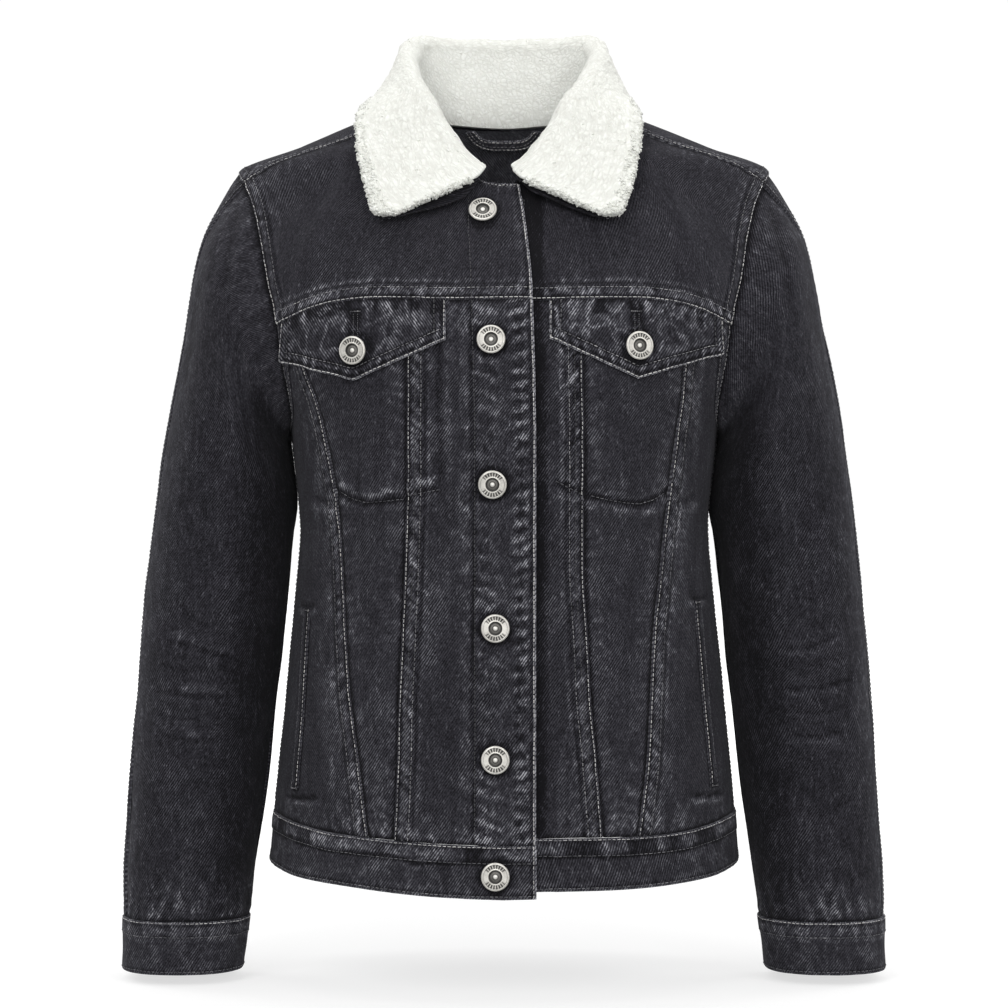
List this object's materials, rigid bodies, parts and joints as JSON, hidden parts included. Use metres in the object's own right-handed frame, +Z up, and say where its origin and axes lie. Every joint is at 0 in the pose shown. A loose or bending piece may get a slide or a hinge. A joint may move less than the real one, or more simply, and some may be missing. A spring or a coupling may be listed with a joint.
{
  "type": "sherpa collar denim jacket",
  "caption": "Filled-out denim trucker jacket with a pile-faced collar, buttoned front, chest flap pockets, welt pockets, waistband and cuffs.",
  "frame": {"origin": "on the wearer's midline at back-neck level, midway between the shoulders, inside the neck opening", "axes": "+Z up along the wearer's body, -Y the way the wearer faces, +X towards the wearer's left arm"},
  "size_m": [0.564, 0.2514, 0.699],
  "materials": {
    "denim": "washed black cotton twill, matte, worn pale along the seams and edges",
    "sherpa": "cream curly pile, matte",
    "button_metal": "aged silver tack button with a dark recess"
  },
  "bodies": {
    "root": {"collar_top": "sherpa", "collar_under": "denim", "yoke_front_R": "denim", "panel_centre_R": "denim", "panel_pocket_R": "denim", "panel_side_R": "denim", "flap_R": "denim", "welt_R": "denim", "sleeve_front_R": "denim", "sleeve_back_R": "denim", "cuff_R": "denim", "yoke_front_L": "denim", "panel_centre_L": "denim", "panel_pocket_L": "denim", "panel_side_L": "denim", "flap_L": "denim", "welt_L": "denim", "sleeve_front_L": "denim", "sleeve_back_L": "denim", "cuff_L": "denim", "waistband": "denim", "yoke_back": "denim", "panel_back": "denim", "hanger_loop": "denim", "button_1": "button_metal", "button_2": "button_metal", "button_3": "button_metal", "button_4": "button_metal", "button_5": "button_metal", "button_6": "button_metal", "flap_button_R": "button_metal", "flap_button_L": "button_metal"}
  },
  "joints": []
}
